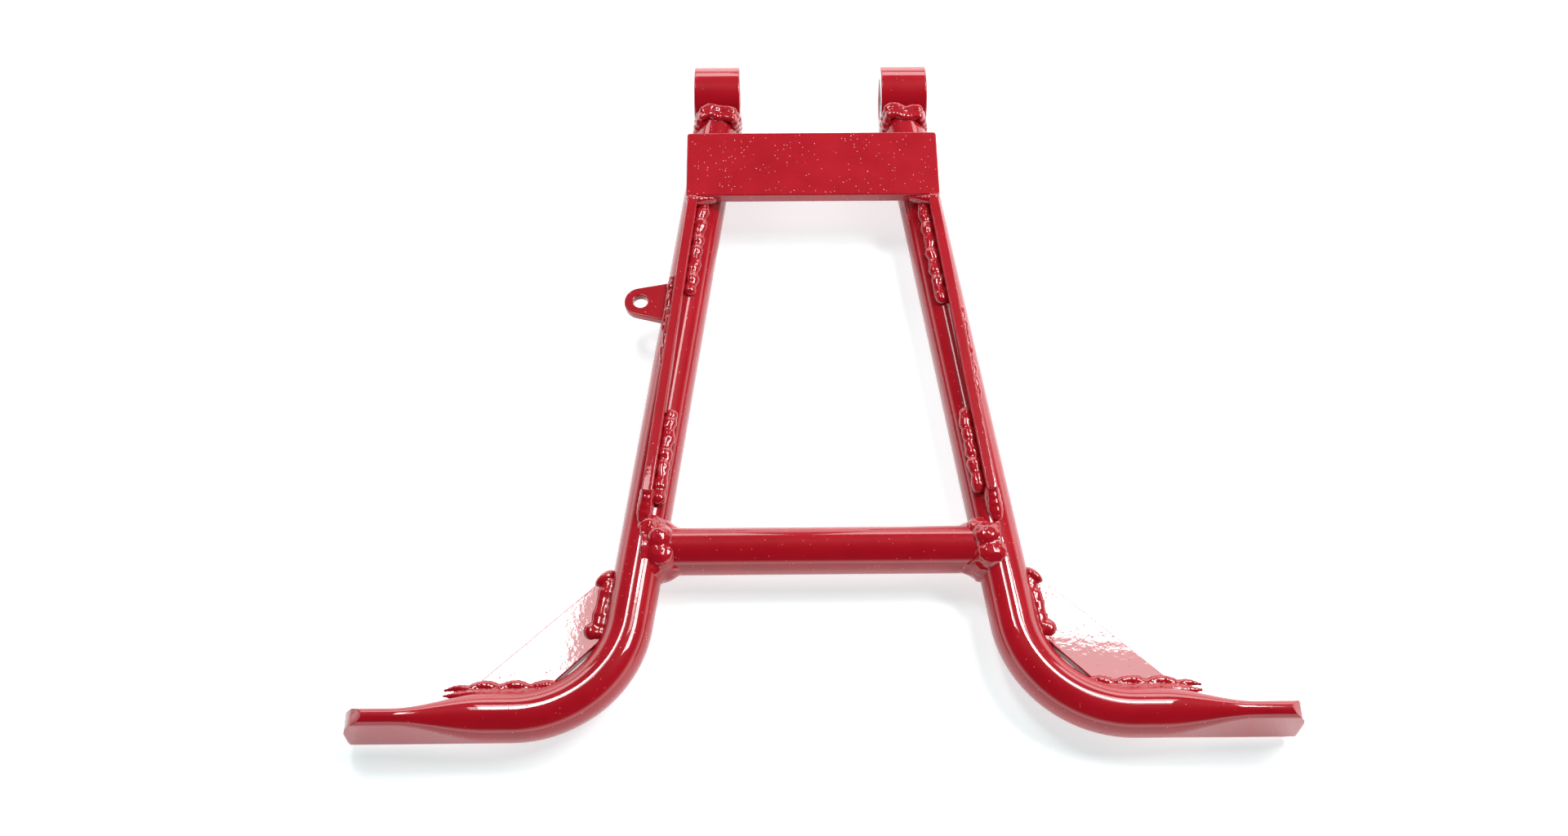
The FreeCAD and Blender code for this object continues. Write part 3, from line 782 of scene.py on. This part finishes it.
def build_tab_weld():
    side = SIDES["left"]
    weld = open_piece("spring_tab_weld_bead")
    swell = wander(random.Random(71), reach=0.15, wave=9 * MM)
    metal = Vector((2.6, 3.2, 2.4)) * MM
    first = 122 * MM
    last = 150 * MM
    for distance in spread(first, last, DROP_SPACING):
        place = rib_point(distance, side, 4.2 * MM, 9.8 * MM)
        drop(place, metal * (1 + swell(distance)), side * RIB_SLOPE)
    close_weld(weld, ["spring_tab_weld"])


def build_welds():
    for seed, (hand, level, first, last, across, size) in enumerate(STITCHES, start=11):
        build_stitch(hand, SIDES[hand], (first * MM, last * MM), across * MM,
                     Vector(size) * MM, seed, f"{hand}_rib_{level}_weld")
    for hand, side in SIDES.items():
        build_rib_end_weld(hand, side)
        build_boss_weld(hand, side, 31 + side)
        build_cross_weld(hand, side, 41 + side)
        build_plate_welds(hand, side, 51 + side)
        gusset_rng = random.Random(61 + side)
        build_gusset_leg_weld(hand, side, gusset_rng)
        build_gusset_foot_weld(hand, side, gusset_rng)
    build_tab_weld()


# ---- scene furniture ----


def build_camera():
    data = bpy.data.cameras.new("view")
    data.lens = 41.5
    camera = bpy.data.objects.new("view", data)
    bpy.context.scene.collection.objects.link(camera)
    elevation = math.radians(60)
    yaw = math.radians(0.9693)
    roll = math.radians(0.4267)
    distance = 864.56 * MM
    target = Vector((-15.84, -195.38, 0)) * MM
    turn = (Matrix.Rotation(-yaw, 4, "Z") @ Matrix.Rotation(math.pi / 2 - elevation, 4, "X")
            @ Matrix.Rotation(roll, 4, "Z"))
    camera.matrix_world = Matrix.Translation(target + turn.to_3x3() @ UP * distance) @ turn
    bpy.context.scene.camera = camera


def build_floor():
    bpy.ops.object.select_all(action="DESELECT")
    gap = 0.2 * MM
    bpy.ops.mesh.primitive_plane_add(size=8, location=(0, 0, cad_box[0][2] - gap))
    floor = bpy.context.object
    floor.name = "table"
    paint = bpy.data.materials.new("table_white")
    paint.use_nodes = True
    shader = paint.node_tree.nodes["Principled BSDF"]
    shader.inputs["Base Color"].default_value = TABLE_WHITE
    shader.inputs["Roughness"].default_value = 0.7
    shader.inputs["Emission Color"].default_value = TABLE_GLOW
    shader.inputs["Emission Strength"].default_value = 0.62
    floor.data.materials.append(paint)


def area_light(name, place, aim, width, depth, brightness):
    data = bpy.data.lights.new(name, "AREA")
    data.shape = "RECTANGLE"
    data.size = width
    data.size_y = depth
    data.energy = brightness * math.pi * width * depth
    light = bpy.data.objects.new(name, data)
    light.location = place
    light.rotation_euler = (Vector(aim) - Vector(place)).to_track_quat("-Z", "Y").to_euler()
    bpy.context.scene.collection.objects.link(light)


def build_lights():
    for name, across, back, width, depth, brightness in SOFT_BOXES:
        area_light(name, (across, back, CEILING), (across, back, 0), width, depth, brightness)
    for name, across, back, height, width, depth, brightness in BACK_STRIPS:
        area_light(name, (across, back, height), STAND_MIDDLE, width, depth, brightness)
    bpy.context.scene.view_settings.view_transform = "Standard"


def build_studio_walls():
    """Bright walls low down, and a dark ceiling round the soft boxes."""
    world = bpy.data.worlds.new("studio")
    bpy.context.scene.world = world
    world.use_nodes = True
    tree = world.node_tree
    sky = tree.nodes["Background"]
    place = shader_node(tree, "ShaderNodeTexCoord")
    split = shader_node(tree, "ShaderNodeSeparateXYZ")
    ramp = shader_node(tree, "ShaderNodeValToRGB")
    ramp.color_ramp.elements[0].position = 0.08
    ramp.color_ramp.elements[0].color = WALL_WHITE
    ramp.color_ramp.elements[1].position = 0.34
    ramp.color_ramp.elements[1].color = CEILING_GREY
    sky.inputs["Strength"].default_value = 2.6
    tree.links.new(place.outputs["Generated"], split.inputs["Vector"])
    tree.links.new(split.outputs["Z"], ramp.inputs["Fac"])
    tree.links.new(ramp.outputs["Color"], sky.inputs["Color"])


for hand, side in SIDES.items():
    build_leg(hand, side)
    build_bosses(hand)
    build_rib(hand, side)
    build_gusset(hand, side)
build_cross_tube()
build_plate()
build_tab()
build_welds()
build_camera()
build_floor()
build_lights()
build_studio_walls()
